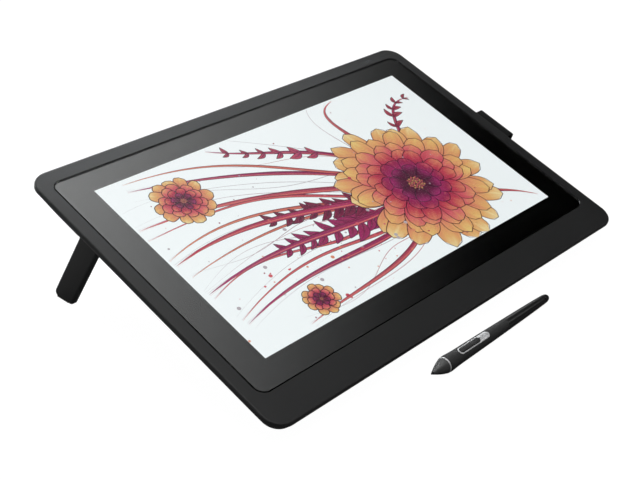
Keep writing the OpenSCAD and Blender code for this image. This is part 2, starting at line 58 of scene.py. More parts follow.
# ---------------------------------------------------------------- materials
class Mat:
    """A node material on the Principled shader, with object coordinates at hand."""

    def __init__(self, name):
        self.m = bpy.data.materials.new(name)
        self.m.use_nodes = True
        self.t = self.m.node_tree
        self.b = self.t.nodes["Principled BSDF"]
        self.co = self.t.nodes.new("ShaderNodeTexCoord").outputs["Object"]

    def node(self, kind, ins=None, **attrs):
        n = self.t.nodes.new(kind)
        for k, v in attrs.items():
            setattr(n, k, v)
        for k, v in (ins or {}).items():
            self.put(n.inputs[k], v)
        return n

    def put(self, socket, v):
        if isinstance(v, bpy.types.NodeSocket):
            self.t.links.new(v, socket)
        else:
            socket.default_value = v

    def set(self, **kw):
        for k, v in kw.items():
            self.put(self.b.inputs[k.replace("_", " ")], v)
        return self

    def noise(self, scale, detail=2.0, rough=0.5, vec=None, dist=0.0):
        return self.node("ShaderNodeTexNoise", {"Vector": vec or self.co, "Scale": scale, "Detail": detail,
                                                "Roughness": rough, "Distortion": dist}).outputs[0]

    def math(self, op, a, b=0.0, c=0.0):
        return self.node("ShaderNodeMath", {0: a, 1: b, 2: c}, operation=op).outputs[0]

    def span(self, v, lo, hi, to_lo, to_hi):
        return self.node("ShaderNodeMapRange", {"Value": v, "From Min": lo, "From Max": hi, "To Min": to_lo,
                                                "To Max": to_hi}).outputs[0]

    def ramp(self, v, stops):
        n = self.node("ShaderNodeValToRGB", {"Fac": v})
        e = n.color_ramp.elements
        while len(e) < len(stops):
            e.new(0.5)
        for el, (p, col) in zip(e, stops):
            el.position = p
            el.color = (*col, 1)
        return n.outputs["Color"]

    def bump(self, height, strength, mm):
        n = self.node("ShaderNodeBump", {"Height": height, "Strength": strength, "Distance": mm * 0.001})
        self.put(self.b.inputs["Normal"], n.outputs["Normal"])

    def scaled(self, x, y, z):
        return self.node("ShaderNodeMapping", {"Vector": self.co, "Scale": (x, y, z)}).outputs[0]


def grey(v, warm=0.0):
    return (v * (1 + warm), v, v * (1 - warm))


def moulded(name, base, rough, grain, depth, strength=0.35, spec=0.5, vary=0.18):
    """Moulded plastic with a fine spark-eroded grain, in millimetres."""
    k = Mat(name)
    fine = k.noise(1000 / grain, 3.0, 0.62)
    cloud = k.noise(9.0, 3.0, 0.55)
    mix = k.math("MULTIPLY_ADD", cloud, 0.55, k.math("MULTIPLY", fine, 0.45))
    lo, hi = [c * (1 - vary) for c in base], [c * (1 + vary) for c in base]
    k.set(Base_Color=k.ramp(mix, [(0.3, lo), (0.7, hi)]), Roughness=k.span(mix, 0.3, 0.7, rough - 0.05, rough + 0.05),
          Specular_IOR_Level=spec)
    k.bump(fine, strength, depth)
    return k.m


def metal(name, base, rough, brush=(60, 60, 1800), strength=0.15, metallic=1.0):
    k = Mat(name)
    lines = k.noise(1.0, 3.0, 0.6, vec=k.scaled(*brush))
    spots = k.noise(700, 2.0)
    lo, hi = [c * 0.86 for c in base], [min(1, c * 1.08) for c in base]
    k.set(Base_Color=k.ramp(lines, [(0.3, lo), (0.7, hi)]), Metallic=metallic,
          Roughness=k.span(k.math("MULTIPLY_ADD", lines, 0.6, k.math("MULTIPLY", spots, 0.4)), 0.3, 0.7, rough - 0.07, rough + 0.08))
    k.bump(lines, strength, 0.01)
    return k.m


def speckled(name, a, b, scale, rough, depth=0.01, strength=0.2, metallic=0.0, spec=0.5):
    k = Mat(name)
    n = k.noise(scale, 3.0, 0.6)
    k.set(Base_Color=k.ramp(n, [(0.35, a), (0.65, b)]), Roughness=k.span(n, 0.3, 0.7, rough - 0.06, rough + 0.06),
          Metallic=metallic, Specular_IOR_Level=spec)
    k.bump(n, strength, depth)
    return k.m


BEZEL = moulded("bezel_plastic", (0.0120, 0.0121, 0.0124), 0.46, 0.5, 0.010, 0.25, 0.35)
CASE = moulded("case_plastic", (0.0105, 0.0105, 0.011), 0.62, 0.75, 0.03, 0.45, 0.15)
LEG = moulded("leg_plastic", (0.022, 0.022, 0.0223), 0.52, 0.75, 0.025, 0.4, 0.25)
KEY = moulded("key_plastic", (0.014, 0.014, 0.0145), 0.36, 0.4, 0.01, 0.25)
RUBBER = speckled("rubber", (0.010, 0.010, 0.010), (0.020, 0.020, 0.0195), 900, 0.75, 0.03, 0.5, spec=0.3)
GRIP = speckled("grip_rubber", (0.030, 0.030, 0.0304), (0.044, 0.044, 0.0444), 2600, 0.6, 0.012, 0.35, spec=0.35)
GLOSS = moulded("gloss_black", (0.0095, 0.0095, 0.01), 0.3, 1.8, 0.002, 0.06, 0.5, vary=0.1)
# pen cone: the barrel's gloss black plastic with its base colour lightened about sevenfold, a painted highlight
# standing in for the broad reflections of the lamps above
CONE_WITH_PAINTED_HIGHLIGHT = moulded("cone_black_painted_highlight", (0.070, 0.070, 0.0705), 0.4, 1.8, 0.002, 0.06, 0.5, vary=0.1)
NIB = speckled("nib_plastic", (0.008, 0.008, 0.008), (0.016, 0.016, 0.016), 3000, 0.5, 0.006, 0.2)
TRIM = metal("silver_trim", (0.74, 0.745, 0.755), 0.36, brush=(500, 4000, 4000), strength=0.12, metallic=0.4)
STEEL = metal("screw_steel", (0.42, 0.42, 0.43), 0.32, brush=(1500, 1500, 1500))
SHEET = metal("sheet_metal", (0.60, 0.60, 0.62), 0.42, brush=(30, 900, 900))
BOARD = speckled("circuit_board", (0.008, 0.07, 0.03), (0.014, 0.11, 0.05), 240, 0.4, 0.02, 0.2)
CHIP = speckled("component_black", (0.012, 0.012, 0.012), (0.022, 0.022, 0.022), 2200, 0.55)
COPPER = speckled("flex_copper", (0.55, 0.24, 0.06), (0.70, 0.36, 0.12), 500, 0.4, metallic=0.6)
TAPE = speckled("foam_tape", (0.008, 0.008, 0.008), (0.016, 0.016, 0.016), 1500, 0.85, 0.05, 0.5, spec=0.2)
FILM = speckled("optical_film", (0.82, 0.83, 0.84), (0.90, 0.91, 0.91), 600, 0.6)
ACRYLIC = speckled("clear_acrylic", (0.55, 0.62, 0.66), (0.66, 0.73, 0.76), 350, 0.2)
SMOKE = speckled("smoked_acrylic", (0.045, 0.046, 0.048), (0.060, 0.061, 0.064), 350, 0.22)
PHOSPHOR = speckled("led_phosphor", (0.78, 0.66, 0.26), (0.88, 0.78, 0.38), 800, 0.6)
EDGE = speckled("edge_paint", (0.0010, 0.0010, 0.0010), (0.0022, 0.0022, 0.0022), 1800, 0.9, 0.004, 0.2, spec=0.0)
PRINT = speckled("black_print", (0.0002, 0.0002, 0.0002), (0.0004, 0.0004, 0.0004), 1200, 0.11, 0.002, 0.05, spec=0.75)
PRINT.node_tree.nodes["Principled BSDF"].inputs["IOR"].default_value = 1.9

# Etched cover glass
k = Mat("etched_glass")
etch = k.noise(5200, 2.0, 0.6)
k.set(Base_Color=(0.985, 0.995, 0.995, 1), Transmission_Weight=1.0, IOR=1.3,
      Roughness=k.span(etch, 0.3, 0.7, 0.065, 0.085))
k.bump(etch, 0.004, 0.002)
GLASS = k.m

# Lit panel: backlight with a faint cell structure
k = Mat("lit_panel")
cells = k.node("ShaderNodeTexVoronoi", {"Vector": k.co, "Scale": 5000.0}).outputs[0]
haze = k.noise(7.0, 2.0)
tone = k.math("MULTIPLY_ADD", cells, 0.12, k.math("MULTIPLY", haze, 0.9))
k.set(Base_Color=(0.001, 0.001, 0.001, 1), Roughness=0.6,
      Emission_Color=k.ramp(tone, [(0.2, (0.865, 0.915, 0.925)), (0.8, (0.895, 0.940, 0.948))]), Emission_Strength=1.0)
LIT = k.m

# Painted picture on the lit panel
k = Mat("lit_picture")
tint = k.node("ShaderNodeVertexColor", layer_name="tint").outputs["Color"]
grain = k.noise(900, 3.0, 0.6)
shade = k.node("ShaderNodeMixRGB", {"Fac": 0.18, "Color1": tint, "Color2": k.ramp(grain, [(0.3, (0.35, 0.35, 0.35)), (0.7, (1, 1, 1))])},
               blend_type="MULTIPLY").outputs[0]
k.set(Base_Color=(0.001, 0.001, 0.001, 1), Roughness=0.6, Emission_Color=shade, Emission_Strength=1.0)
PAINT = k.m

# Woven webbing
k = Mat("webbing")
warp = k.node("ShaderNodeTexWave", {"Vector": k.co, "Scale": 420.0, "Distortion": 1.2, "Detail": 2.0}, bands_direction="Y").outputs[1]
fuzz = k.noise(3500, 3.0, 0.7)
tone = k.math("MULTIPLY_ADD", warp, 0.5, k.math("MULTIPLY", fuzz, 0.5))
k.set(Base_Color=k.ramp(tone, [(0.25, (0.0022, 0.0022, 0.0023)), (0.75, (0.0062, 0.0062, 0.0064))]), Roughness=0.85,
      Sheen_Weight=0.04, Sheen_Roughness=0.5, Specular_IOR_Level=0.2)
k.bump(tone, 0.5, 0.08)
WEB = k.m


# ---------------------------------------------------------------- mesh helpers
def solid(bm):
    """A temporary object in millimetres from a bmesh."""
    bmesh.ops.recalc_face_normals(bm, faces=bm.faces[:])
    me = bpy.data.meshes.new("work")
    bm.to_mesh(me)
    bm.free()
    ob = bpy.data.objects.new("work", me)
    scene.collection.objects.link(ob)
    return ob


def combine(ob, tool, op):
    """Boolean of two temporary objects; the tool is used up."""
    mod = ob.modifiers.new("op", "BOOLEAN")
    mod.operation, mod.solver, mod.object = op, "EXACT", tool
    dg = bpy.context.evaluated_depsgraph_get()
    new = bpy.data.meshes.new_from_object(ob.evaluated_get(dg))
    ob.modifiers.clear()
    old, ob.data = ob.data, new
    bpy.data.meshes.remove(old)
    bpy.data.objects.remove(tool)
    return ob


def piece(name, thing, mat, body, nodes=(), place=PLACE, sharp=32):
    """Turns a bmesh or a temporary object in millimetres into a named piece riding on a body."""
    ob = solid(thing) if isinstance(thing, bmesh.types.BMesh) else thing
    ob.name = name
    me = ob.data
    me.name = name
    me.transform(place)
    me.materials.clear()
    me.materials.append(mat)
    me.shade_smooth()
    me.set_sharp_from_angle(angle=math.radians(sharp))
    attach(ob, body)
    if nodes:
        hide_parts(*nodes)
    return ob


def rr(w, h, r, cx, cy, z, n=12):
    """Loop of a rounded rectangle."""
    out = []
    for q, (sx, sy) in enumerate(((1, 1), (-1, 1), (-1, -1), (1, -1))):
        for i in range(n + 1):
            a = math.radians(90 * q + 90 * i / n)
            out.append((cx + sx * (w / 2 - r) + r * math.cos(a), cy + sy * (h / 2 - r) + r * math.sin(a), z))
    return out


def loft(bm, loops, ring=False, cap0=False, cap1=False):
    vs = [[bm.verts.new(p) for p in lp] for lp in loops]
    n = len(vs[0])
    pairs = list(zip(vs, vs[1:] + ([vs[0]] if ring else [])))
    for a, b in (pairs if ring else pairs[:len(vs) - 1]):
        for i in range(n):
            bm.faces.new((a[i], a[(i + 1) % n], b[(i + 1) % n], b[i]))
    if cap0:
        bm.faces.new(vs[0][::-1])
    if cap1:
        bm.faces.new(vs[-1])
    return vs


def lathe(bm, prof, n=72):
    """Turns rows (station, radius) about the x axis; rows of radius 0 close the ends."""
    rings = []
    for s, r in prof:
        if r <= 1e-6:
            rings.append([bm.verts.new((s, 0, 0))])
        else:
            rings.append([bm.verts.new((s, r * math.cos(2 * math.pi * i / n), r * math.sin(2 * math.pi * i / n))) for i in range(n)])
    for a, b in zip(rings, rings[1:]):
        for i in range(n):
            j = (i + 1) % n
            if len(a) == 1 and len(b) == 1:
                continue
            if len(a) == 1:
                bm.faces.new((a[0], b[i], b[j]))
            elif len(b) == 1:
                bm.faces.new((a[i], a[j], b[0]))
            else:
                bm.faces.new((a[i], a[j], b[j], b[i]))
    return rings


def prism(bm, pts, axis, a, b):
    """Extrudes an outline along x or y between a and b; returns the two faces."""
    if axis == "x":
        lo, hi = [(a, p, q) for p, q in pts], [(b, p, q) for p, q in pts]
    elif axis == "y":
        lo, hi = [(p, a, q) for p, q in pts], [(p, b, q) for p, q in pts]
    else:
        lo, hi = [(p, q, a) for p, q in pts], [(p, q, b) for p, q in pts]
    va, vb = [bm.verts.new(p) for p in lo], [bm.verts.new(p) for p in hi]
    n = len(pts)
    for i in range(n):
        bm.faces.new((va[i], va[(i + 1) % n], vb[(i + 1) % n], vb[i]))
    return bm.faces.new(va[::-1]), bm.faces.new(vb)


def fillet(a, p, b, r, n=8):
    a, p, b = Vector(a), Vector(p), Vector(b)
    u, v = (a - p).normalized(), (b - p).normalized()
    half = u.angle(v) / 2
    c = p + (u + v).normalized() * (r / math.sin(half))
    s, e = p + u * (r / math.tan(half)) - c, p + v * (r / math.tan(half)) - c
    a0, a1 = math.atan2(s.y, s.x), math.atan2(e.y, e.x)
    d = (a1 - a0 + 3 * math.pi) % (2 * math.pi) - math.pi
    return [(c.x + r * math.cos(a0 + d * i / n), c.y + r * math.sin(a0 + d * i / n)) for i in range(n + 1)]


def rounded(pts, radii, n=8):
    out = []
    for i, r in enumerate(radii):
        out += [tuple(pts[i])] if r <= 0 else fillet(pts[i - 1], pts[i], pts[(i + 1) % len(pts)], r, n)
    return out


def tube_y(bm, x, z, r, y0, y1, edge, n=56):
    """Round bar along y with softened ends."""
    rings = [(y0, 0), (y0, r - edge), (y0 + edge * 0.3, r - edge * 0.3), (y0 + edge, r), (y1 - edge, r),
             (y1 - edge * 0.3, r - edge * 0.3), (y1, r - edge), (y1, 0)]
    vs = []
    for y, q in rings:
        if q == 0:
            vs.append([bm.verts.new((x, y, z))])
        else:
            vs.append([bm.verts.new((x + q * math.cos(2 * math.pi * i / n), y, z + q * math.sin(2 * math.pi * i / n))) for i in range(n)])
    for a, b in zip(vs, vs[1:]):
        for i in range(n):
            j = (i + 1) % n
            if len(a) == 1:
                bm.faces.new((a[0], b[i], b[j]))
            elif len(b) == 1:
                bm.faces.new((a[i], a[j], b[0]))
            else:
                bm.faces.new((a[i], a[j], b[j], b[i]))


# ---------------------------------------------------------------- front bezel
GLASS_W, GLASS_H, GLASS_CY = 393.0, 236.0, -0.7
bm = bmesh.new()


def outer(i, z):
    return rr(417 - 2 * i, 277.9 - 2 * i, 15.5 - i, 0, -7.85, z, 16)


def inner(g, r, z):
    return rr(GLASS_W + 2 * g, GLASS_H + 2 * g, r, 0, GLASS_CY, z, 16)


def pane(g, r, z):
    """The pane's outline as it lies in its opening."""
    return rr(GLASS_W + 2 * g, GLASS_H + 2 * g, r, 0.25, GLASS_CY + 0.25, z, 16)


RIM = 1.6
loops = [outer(2.2, -3.2), outer(2.2, -3.3), outer(2.0, -3.5), outer(0.25, -3.5), outer(0.07, -3.43), outer(0.0, -3.25), outer(0.0, -RIM - 0.3), outer(0.0, -RIM)]
loops += [outer(RIM * (1 - math.cos(math.radians(a))), -RIM + RIM * math.sin(math.radians(a))) for a in range(10, 91, 10)]
loops += [outer(RIM + 0.5, 0), outer(RIM + 2.5, 0), inner(2.2, 10.2, 0), inner(1.1, 9.1, 0)]
loops += [inner(0.8 + 0.1 * (1 - math.sin(math.radians(a))), 8.8 + 0.1 * (1 - math.sin(math.radians(a))), -0.1 * (1 - math.cos(math.radians(a))))
          for a in (0, 30, 60, 90)]
loops += [inner(0.8, 8.8, -0.4), inner(0.8, 8.8, -2.1), inner(-8, 4, -2.1), inner(-8, 4, -3.2)]
loft(bm, loops, ring=True)
bezel = solid(bm)
bm = bmesh.new()
loft(bm, [rr(10.4, 1.8, 0.88, 168.1, 123.3, z, 8) for z in (-12, 2)], cap0=True, cap1=True)
combine(bezel, solid(bm), "DIFFERENCE")
piece("bezel_frame", bezel, BEZEL, "tablet", ["front_bezel"])

# ---------------------------------------------------------------- cover glass, printed border
bm = bmesh.new()
loft(bm, [pane(-0.1, 7.9, -1.8), pane(0, 8, -1.7), pane(0, 8, 0)], cap0=True, cap1=True)
piece("cover_pane", bm, GLASS, "tablet", ["cover_glass"], sharp=8)

bm = bmesh.new()
loft(bm, [pane(-0.3, 7.7, -1.87), pane(-0.3, 7.7, -1.83), rr(344.9, 192.9, 0.4, 0.95, 0.75, -1.83, 16), rr(344.9, 192.9, 0.4, 0.95, 0.75, -1.87, 16)], ring=True)
piece("border_print", bm, PRINT, "tablet", ["black_border"])

# paint on the pane's ground edge
bm = bmesh.new()
loft(bm, [pane(0.12, 8.12, -1.87), pane(0.12, 8.12, -0.03), pane(0.04, 8.04, -0.01), pane(0.04, 8.04, -1.87)], ring=True)
piece("edge_paint", bm, EDGE, "tablet")

# ---------------------------------------------------------------- legs
LEG_Y, LEG_W, LEG_K, LEAN_U, PAD_IN = 58.0, 21.2, 0.25, 4.6, 4.0
HIN_X, HIN_Z = 192.45, -19.3
FOOT_A = HIN_Z - DESK_C / C


def foot_u(y0, h):
    return (FOOT_A - h / C + (y0 - LEG_K * LEAN_U) * S / C) / (1 - LEG_K * S / C)


def leg(side, name, node):
    lean = lambda u: LEG_K * max(u - LEAN_U, 0)

    def outline(g):
        """Side outline of the leg set in by g."""
        lo, hi = LEG_Y + g, LEG_Y + LEG_W - g
        uf, ur = foot_u(lo, 0.3 + g), foot_u(hi, 0.3 + g)
        pts = [(hi, HIN_Z), (lo, HIN_Z), (lo, HIN_Z - LEAN_U), (lo + lean(uf), HIN_Z - uf), (hi + lean(ur), HIN_Z - ur), (hi, HIN_Z - LEAN_U)]
        return rounded(pts, [0, 0, 3, 4.5 - g, 4.5 - g, 3], 10)

    # the outer face rolls softly into the edges
    out, inn = side * (HIN_X + 3.42), side * (HIN_X - 2.0)
    arc = [math.radians(d) for d in range(0, 91, 15)]
    rows = [(out - side * 2.0 * (1 - math.cos(t)), 2.0 * (1 - math.sin(t))) for t in arc]
    rows += [(inn + side * 0.8 * (1 - math.cos(t)), 0.8 * (1 - math.sin(t))) for t in arc[::-1]]
    bm = bmesh.new()
    loft(bm, [[(x, y, z) for y, z in outline(g)] for x, g in rows], cap0=True, cap1=True)
    ob = solid(bm)
    bm = bmesh.new()
    tube_y(bm, side * HIN_X, HIN_Z, 3.5, LEG_Y, LEG_Y + LEG_W, 0.4)
    combine(ob, solid(bm), "UNION")
    bm = bmesh.new()
    tube_y(bm, side * HIN_X, HIN_Z, 1.56, LEG_Y - 3, LEG_Y + LEG_W + 3, 0.1, 32)
    combine(ob, solid(bm), "DIFFERENCE")
    # pocket of the foot pad
    a, b = foot_u(LEG_Y + PAD_IN, 2), foot_u(LEG_Y + LEG_W - PAD_IN, 2)
    c, d = foot_u(LEG_Y + PAD_IN, -1), foot_u(LEG_Y + LEG_W - PAD_IN, -1)
    bm = bmesh.new()
    px0, px1 = sorted((side * (HIN_X + 3.5 - 0.9), side * (HIN_X + 3.5 - 4.6)))
    prism(bm, [(LEG_Y + PAD_IN + lean(a), HIN_Z - a), (LEG_Y + PAD_IN + lean(c), HIN_Z - c),
               (LEG_Y + LEG_W - PAD_IN + lean(d), HIN_Z - d), (LEG_Y + LEG_W - PAD_IN + lean(b), HIN_Z - b)], "x", px0, px1)
    combine(ob, solid(bm), "DIFFERENCE")
    piece(name, ob, LEG, node, [node])


leg(-1, "leg_paddle_left", "leg_left")
leg(1, "leg_paddle_right", "leg_right")

# ---------------------------------------------------------------- pen loop of webbing
LOOP_Y, LOOP_L = 3.0, 39.4


def loop_path():
    """Middle line of the strap in x-z with its outward normals, evenly spaced."""
    pts = []
    for i in range(51):
        pts.append(((197.5 + 27.8 * i / 50, -7.6), (0, 1)))
    for i in range(1, 11):
        a = math.radians(90 - 90 * i / 10)
        pts.append(((225.3 + 2.4 * math.cos(a), -10.0 + 2.4 * math.sin(a)), (math.cos(a), math.sin(a))))
    for i in range(1, 10):
        pts.append(((227.7, -10.0 - 4.6 * i / 9), (1, 0)))
    for i in range(1, 11):
        a = math.radians(-90 * i / 10)
        pts.append(((225.3 + 2.4 * math.cos(a), -14.6 + 2.4 * math.sin(a)), (math.cos(a), math.sin(a))))
    for i in range(1, 51):
        pts.append(((225.3 - 27.8 * i / 50, -17.0), (0, -1)))
    return pts


bm = bmesh.new()
M_ACROSS = 78
rows = []
for i, ((x, z), (nx, nz)) in enumerate(loop_path()):
    row = []
    for j in range(M_ACROSS + 1):
        v = j / M_ACROSS
        edge = min(v, 1 - v) * LOOP_L
        half = 0.42 + 0.10 * min(1, edge / 0.8)
        rib = 0.06 * (1 if (i // 2 + j) % 2 else -1) if 0 < j < M_ACROSS else 0
        row.append((x, LOOP_Y - LOOP_L / 2 + v * LOOP_L, z, nx, nz, half + rib, half - rib * 0.5))
    rows.append(row)
top = [[bm.verts.new((x + nx * o, y, z + nz * o)) for x, y, z, nx, nz, o, w in row] for row in rows]
low = [[bm.verts.new((x - nx * w, y, z - nz * w)) for x, y, z, nx, nz, o, w in row] for row in rows]
for a, b in zip(range(len(rows)), range(1, len(rows))):
    for j in range(M_ACROSS):
        bm.faces.new((top[a][j], top[b][j], top[b][j + 1], top[a][j + 1]))
        bm.faces.new((low[a][j], low[a][j + 1], low[b][j + 1], low[b][j]))
    for j, flip in ((0, False), (M_ACROSS, True)):
        q = (top[a][j], low[a][j], low[b][j], top[b][j])
        bm.faces.new(q[::-1] if flip else q)
for a, flip in ((0, False), (len(rows) - 1, True)):
    for j in range(M_ACROSS):
        q = (top[a][j], top[a][j + 1], low[a][j + 1], low[a][j])
        bm.faces.new(q[::-1] if flip else q)
loop_ob = piece("loop_webbing", bm, WEB, "tablet", ["pen_loop"], sharp=60)

# ---------------------------------------------------------------- pen
PEN_T = [(0, 0.75), (1.6, 1.2), (4, 2.25), (7, 3.53), (10, 4.67), (13, 5.6), (14.7, 6.02), (15.8, 6.24), (19, 6.48), (23, 6.24),
         (30, 5.94), (40, 5.78), (52, 5.59), (64, 5.4), (76, 5.19), (94, 4.83), (108, 4.53), (120, 4.26), (132, 3.93), (142, 3.6), (157, 3.1)]


def pen_r(x):
    """Half section of the pen: smooth curve through the table."""
    i = 0
    while i < len(PEN_T) - 2 and x >= PEN_T[i + 1][0]:
        i += 1

    def slope(j):
        a, b = PEN_T[max(j - 1, 0)], PEN_T[min(j + 1, len(PEN_T) - 1)]
        return (b[1] - a[1]) / (b[0] - a[0])

    w = PEN_T[i + 1][0] - PEN_T[i][0]
    u = (x - PEN_T[i][0]) / w
    return ((2 * u ** 3 - 3 * u * u + 1) * PEN_T[i][1] + (u ** 3 - 2 * u * u + u) * w * slope(i)
            + (3 * u * u - 2 * u ** 3) * PEN_T[i + 1][1] + (u ** 3 - u * u) * w * slope(i + 1))


def sleeve(a, b, bore, n, grow=0.0, soft=0.12, ends=(True, True)):
    """Turned sleeve between two stations with softened ends and a straight or stepped bore; rows of (station, radius)."""
    out = []
    if ends[0]:
        out += [(a, pen_r(a) + grow - soft), (a + 0.3 * soft, pen_r(a) + grow - 0.3 * soft)]
    lo, hi = a + (soft if ends[0] else 0), b - (soft if ends[1] else 0)
    out += [(lo + (hi - lo) * i / n, pen_r(lo + (hi - lo) * i / n) + grow) for i in range(n + 1)]
    if ends[1]:
        out += [(b - 0.3 * soft, pen_r(b) + grow - 0.3 * soft), (b, pen_r(b) + grow - soft)]
    return out + [(x, r) for x, r in bore]


def turned(prof, n=96):
    """Closed ring of revolution about the pen's axis."""
    bm = bmesh.new()
    loft(bm, [[(x, r * math.cos(2 * math.pi * i / n), r * math.sin(2 * math.pi * i / n)) for i in range(n)] for x, r in prof], ring=True)
    return bm


def pill(a, b, w, n=20):
    """Outline of a round-ended slot along the pen."""
    r = w / 2
    return ([(b - r + r * math.cos(math.radians(-90 + 180 * i / n)), r * math.sin(math.radians(-90 + 180 * i / n))) for i in range(n + 1)]
            + [(a + r + r * math.cos(math.radians(90 + 180 * i / n)), r * math.sin(math.radians(90 + 180 * i / n))) for i in range(n + 1)])


def on_pen(pts, grow):
    """Lifts an outline in the pen's x-y plane on to its upper surface."""
    return [(x, y, math.sqrt((pen_r(x) + grow) ** 2 - y * y)) for x, y in pts]


# the cone wears the lightened gloss black, its painted highlight in the base colour
piece("pen_tip_cone", turned(sleeve(1.6, 14.7, [(14.7, 2.75), (9, 2.75), (9, 0.95), (1.6, 0.95)], 44, soft=0.1)), CONE_WITH_PAINTED_HIGHLIGHT, "pen", ["pen_cone"], PEN)
piece("pen_trim_ring", turned(sleeve(14.7, 15.8, [(15.8, 4.9), (14.7, 4.9)], 5, 0.1, 0.18)), TRIM, "pen", ["pen_ring"], PEN)
grip_ob = solid(turned(sleeve(15.8, 91.5, [(91.5, 3.4), (89.5, 3.4), (89.5, pen_r(89.5) - 1.22)]
                              + [(x, pen_r(x) - 1.22) for x in range(86, 16, -3)] + [(15.8, 4.95)], 84)))
bm = bmesh.new()
loft(bm, [[(x, y, z) for x, y in pill(29.55, 66.85, 6.1)] for z in (0.5, 9)], cap0=True, cap1=True)
combine(grip_ob, solid(bm), "DIFFERENCE")
piece("pen_grip_sleeve", grip_ob, GRIP, "pen", ["pen_grip"], PEN)
piece("pen_barrel_shell", turned(sleeve(91.5, 143.5, [(143.5, 1.55), (124, 1.55), (124, 2.2), (100, 2.2), (100, 3.4), (91.5, 3.4)], 52)),
      GLOSS, "pen", ["pen_barrel"], PEN)
bm = bmesh.new()
TAIL = 144.1
tail_r = pen_r(TAIL) - 0.05
prof = [(128, 0), (128, 1.45), (TAIL, 1.45), (TAIL, tail_r - 0.15), (TAIL + 0.05, tail_r - 0.04)]
prof += [(TAIL + 6.9 * math.sin(math.radians(a)), tail_r * math.cos(math.radians(a)) ** 0.62) for a in (2, 6, 12, 18, 24, 30, 36, 42, 48, 54, 60, 66, 71, 76, 80, 83.5, 86, 88)]
lathe(bm, prof + [(151, 0)], 96)
piece("pen_tail_cap", bm, GLOSS, "pen_eraser", ["pen_eraser"], PEN)

# silver surround of the side switch, bent over the grip
bm = bmesh.new()
edge_o, edge_i = pill(29.6, 66.8, 6.0), pill(30.85, 55.55, 4.5)


def between(t):
    return [(p[0] + (q[0] - p[0]) * t, p[1] + (q[1] - p[1]) * t) for p, q in zip(edge_o, edge_i)]


soft_o, soft_i = pill(29.7, 66.7, 5.8), pill(30.75, 55.65, 4.7)
loops = [on_pen(edge_o, -1.05), on_pen(edge_o, 0.08), on_pen(soft_o, 0.20)]
loops += [on_pen([(p[0] + (q[0] - p[0]) * t, p[1] + (q[1] - p[1]) * t) for p, q in zip(soft_o, soft_i)], 0.22) for t in (0.12, 0.35, 0.65, 0.88)]
loops += [on_pen(soft_i, 0.20), on_pen(edge_i, 0.08), on_pen(edge_i, -1.05)]
loft(bm, loops, ring=True)
piece("pen_switch_plate", bm, TRIM, "pen", ["pen_switch_bezel"], PEN)

# rocker of the side switch: a cushion with a dip over its pivot
bm = bmesh.new()
RK_A, RK_B, RK_W = 31.2, 55.2, 3.9


def rocker_top(x, y, d):
    dip = math.exp(-((x - 43.05) / 2.4) ** 2)
    return math.sqrt((pen_r(x) + 0.42 - 0.2 * dip) ** 2 - y * y) - 0.34 * max(0.0, 1 - d / 0.55) ** 2


def rocker_rows(z0=None, rows=60, cols=12):
    out = []
    r = RK_W / 2
    for i in range(rows + 1):
        t = 0.5 - 0.5 * math.cos(math.pi * i / rows)
        x = RK_A + (RK_B - RK_A) * t
        e = min(x - RK_A, RK_B - x)
        hw = r if e >= r else math.sqrt(max(r * r - (r - e) ** 2, 0))
        if i in (0, rows):
            out.append([(x, 0.0, z0 if z0 is not None else rocker_top(x, 0, 0))])
            continue
        row = []
        for j in range(cols + 1):
            v = -math.cos(math.pi * j / cols)
            y = hw * v
            d = r - math.hypot(min(0.0, e - r), y) if e < r else r - abs(y)
            row.append((x, y, z0 if z0 is not None else rocker_top(x, y, max(d, 0))))
        out.append(row)
    return [[bm.verts.new(p) for p in row] for row in out]


def sheet_faces(rows, flip):
    for a, b in zip(rows, rows[1:]):
        m = max(len(a), len(b)) - 1
        for j in range(m):
            q = [a[0]] if len(a) == 1 else [a[j], a[j + 1]]
            q += [b[0]] if len(b) == 1 else [b[j + 1], b[j]]
            bm.faces.new(q[::-1] if flip else q)


up_rows, dn_rows = rocker_rows(), rocker_rows(2.0)
sheet_faces(up_rows, False)
sheet_faces(dn_rows, True)
for a, b, c, d in zip(up_rows, up_rows[1:], dn_rows, dn_rows[1:]):
    for j in (0, -1):
        bm.faces.new((a[j], b[j], d[j], c[j]))
piece("pen_rocker", bm, GRIP, "pen_side_switch", ["pen_side_switch"], PEN, sharp=50)

# ---------------------------------------------------------------- picture on the screen: dahlias, ribbons and fronds
random.seed(11)


def lin(h):
    out = []
    for i in (0, 2, 4):
        c = int(h[i:i + 2], 16) / 255
        out.append(c / 12.92 if c <= 0.04045 else ((c + 0.055) / 1.055) ** 2.4)
    return out


PALE, YELLOW, AMBER, SALMON, ROSE, RED, CRIMSON, MAGENTA, PLUM, INK, MIST = (lin(h) for h in (
    "efdfa6", "e8cf80", "e0ac6a", "d88866", "cf5c66", "b8354c", "8e1f48", "a02468", "4c1434", "2a1020", "b4acb2"))


def blend3(stops, t):
    t = min(max(t, 0), 1)
    for (a, ca), (b, cb) in zip(stops, stops[1:]):
        if t <= b:
            f = (t - a) / max(b - a, 1e-9)
            return [x + (y - x) * f for x, y in zip(ca, cb)]
    return list(stops[-1][1])


bm = bmesh.new()
TINT = bm.verts.layers.float_color.new("tint")
AW, AH = 171.8, 96.2
layer = [0]


def z_now(step=1):
    layer[0] += step
    return -2.28 + 0.0009 * layer[0]


def vert(x, y, z, col):
    v = bm.verts.new((min(max(x, -AW), AW), min(max(y, -AH), AH), z))
    v[TINT] = (*col, 1)
    return v


def face(vs):
    """Adds a face unless the frame's edge has flattened it."""
    o = vs[0].co
    if sum(((q.co - o).cross(r.co - o)).length for q, r in zip(vs[1:], vs[2:])) > 2e-3:
        bm.faces.new(vs)


